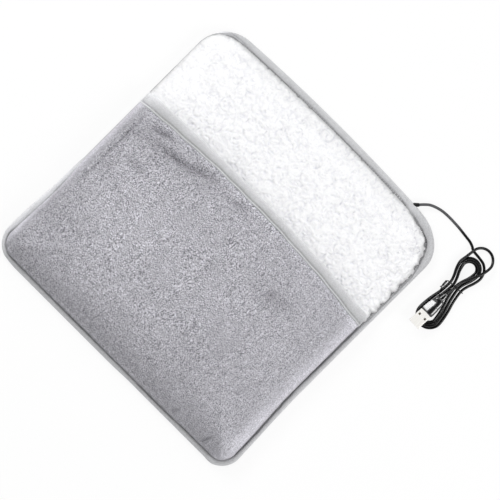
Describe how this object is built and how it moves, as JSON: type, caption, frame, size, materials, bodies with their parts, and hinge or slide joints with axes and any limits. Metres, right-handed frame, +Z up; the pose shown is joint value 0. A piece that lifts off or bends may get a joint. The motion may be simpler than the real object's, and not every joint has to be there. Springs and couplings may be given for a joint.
{
  "type": "electric foot warmer",
  "caption": "Square plush foot pouch, heated from inside, with a sherpa lining, a bound mouth across the pocket and a thin cord folded into a tied hank with a USB plug.",
  "frame": {"origin": "on the floor under the middle of the pad", "axes": "+Z up, +Y from the closed seam towards the pocket's mouth, +X across the pad towards the cord's side"},
  "size_m": [0.3445, 0.3209, 0.0415],
  "materials": {
    "plush": "short-pile plush",
    "sherpa": "curly sherpa fleece",
    "wadding": "loose fibre",
    "fleece": "flat felt",
    "tape": "smooth knitted tape",
    "black_rubber": "satin",
    "tie_black": "satin",
    "cut_out": "satin",
    "carbon": "satin",
    "red_lead": "satin",
    "white_lead": "satin",
    "steel": "bright nickel",
    "gold": "gold plated"
  },
  "bodies": {
    "pad": {"back_panel": "plush", "back_lining": "sherpa", "back_wadding": "wadding", "heater_base": "fleece", "heater_cover": "fleece", "edge_binding": "tape", "cord_sleeve": "black_rubber", "cord": "black_rubber", "cord_hank": "black_rubber", "inner_cord": "black_rubber", "usb_moulding": "black_rubber", "cable_joint": "black_rubber", "heater_splice": "black_rubber", "return_splice": "black_rubber", "wire_tie": "tie_black", "thermal_cut_out": "cut_out", "heating_wire": "carbon", "live_lead": "red_lead", "heater_lead": "red_lead", "return_lead": "white_lead", "usb_tongue": "white_lead", "usb_shell": "steel", "usb_contact_1": "gold", "usb_contact_2": "gold", "usb_contact_3": "gold", "usb_contact_4": "gold"},
    "pocket_front": {"front_panel": "plush", "front_wadding": "wadding", "front_lining": "sherpa", "mouth_binding": "tape"}
  },
  "joints": [
    {"name": "pocket_open", "type": "hinge", "parent": "pad", "child": "pocket_front", "pos_m": [0, -0.147, 0.00855], "axis": [1, 0, 0], "range_deg": [0, 20]}
  ]
}
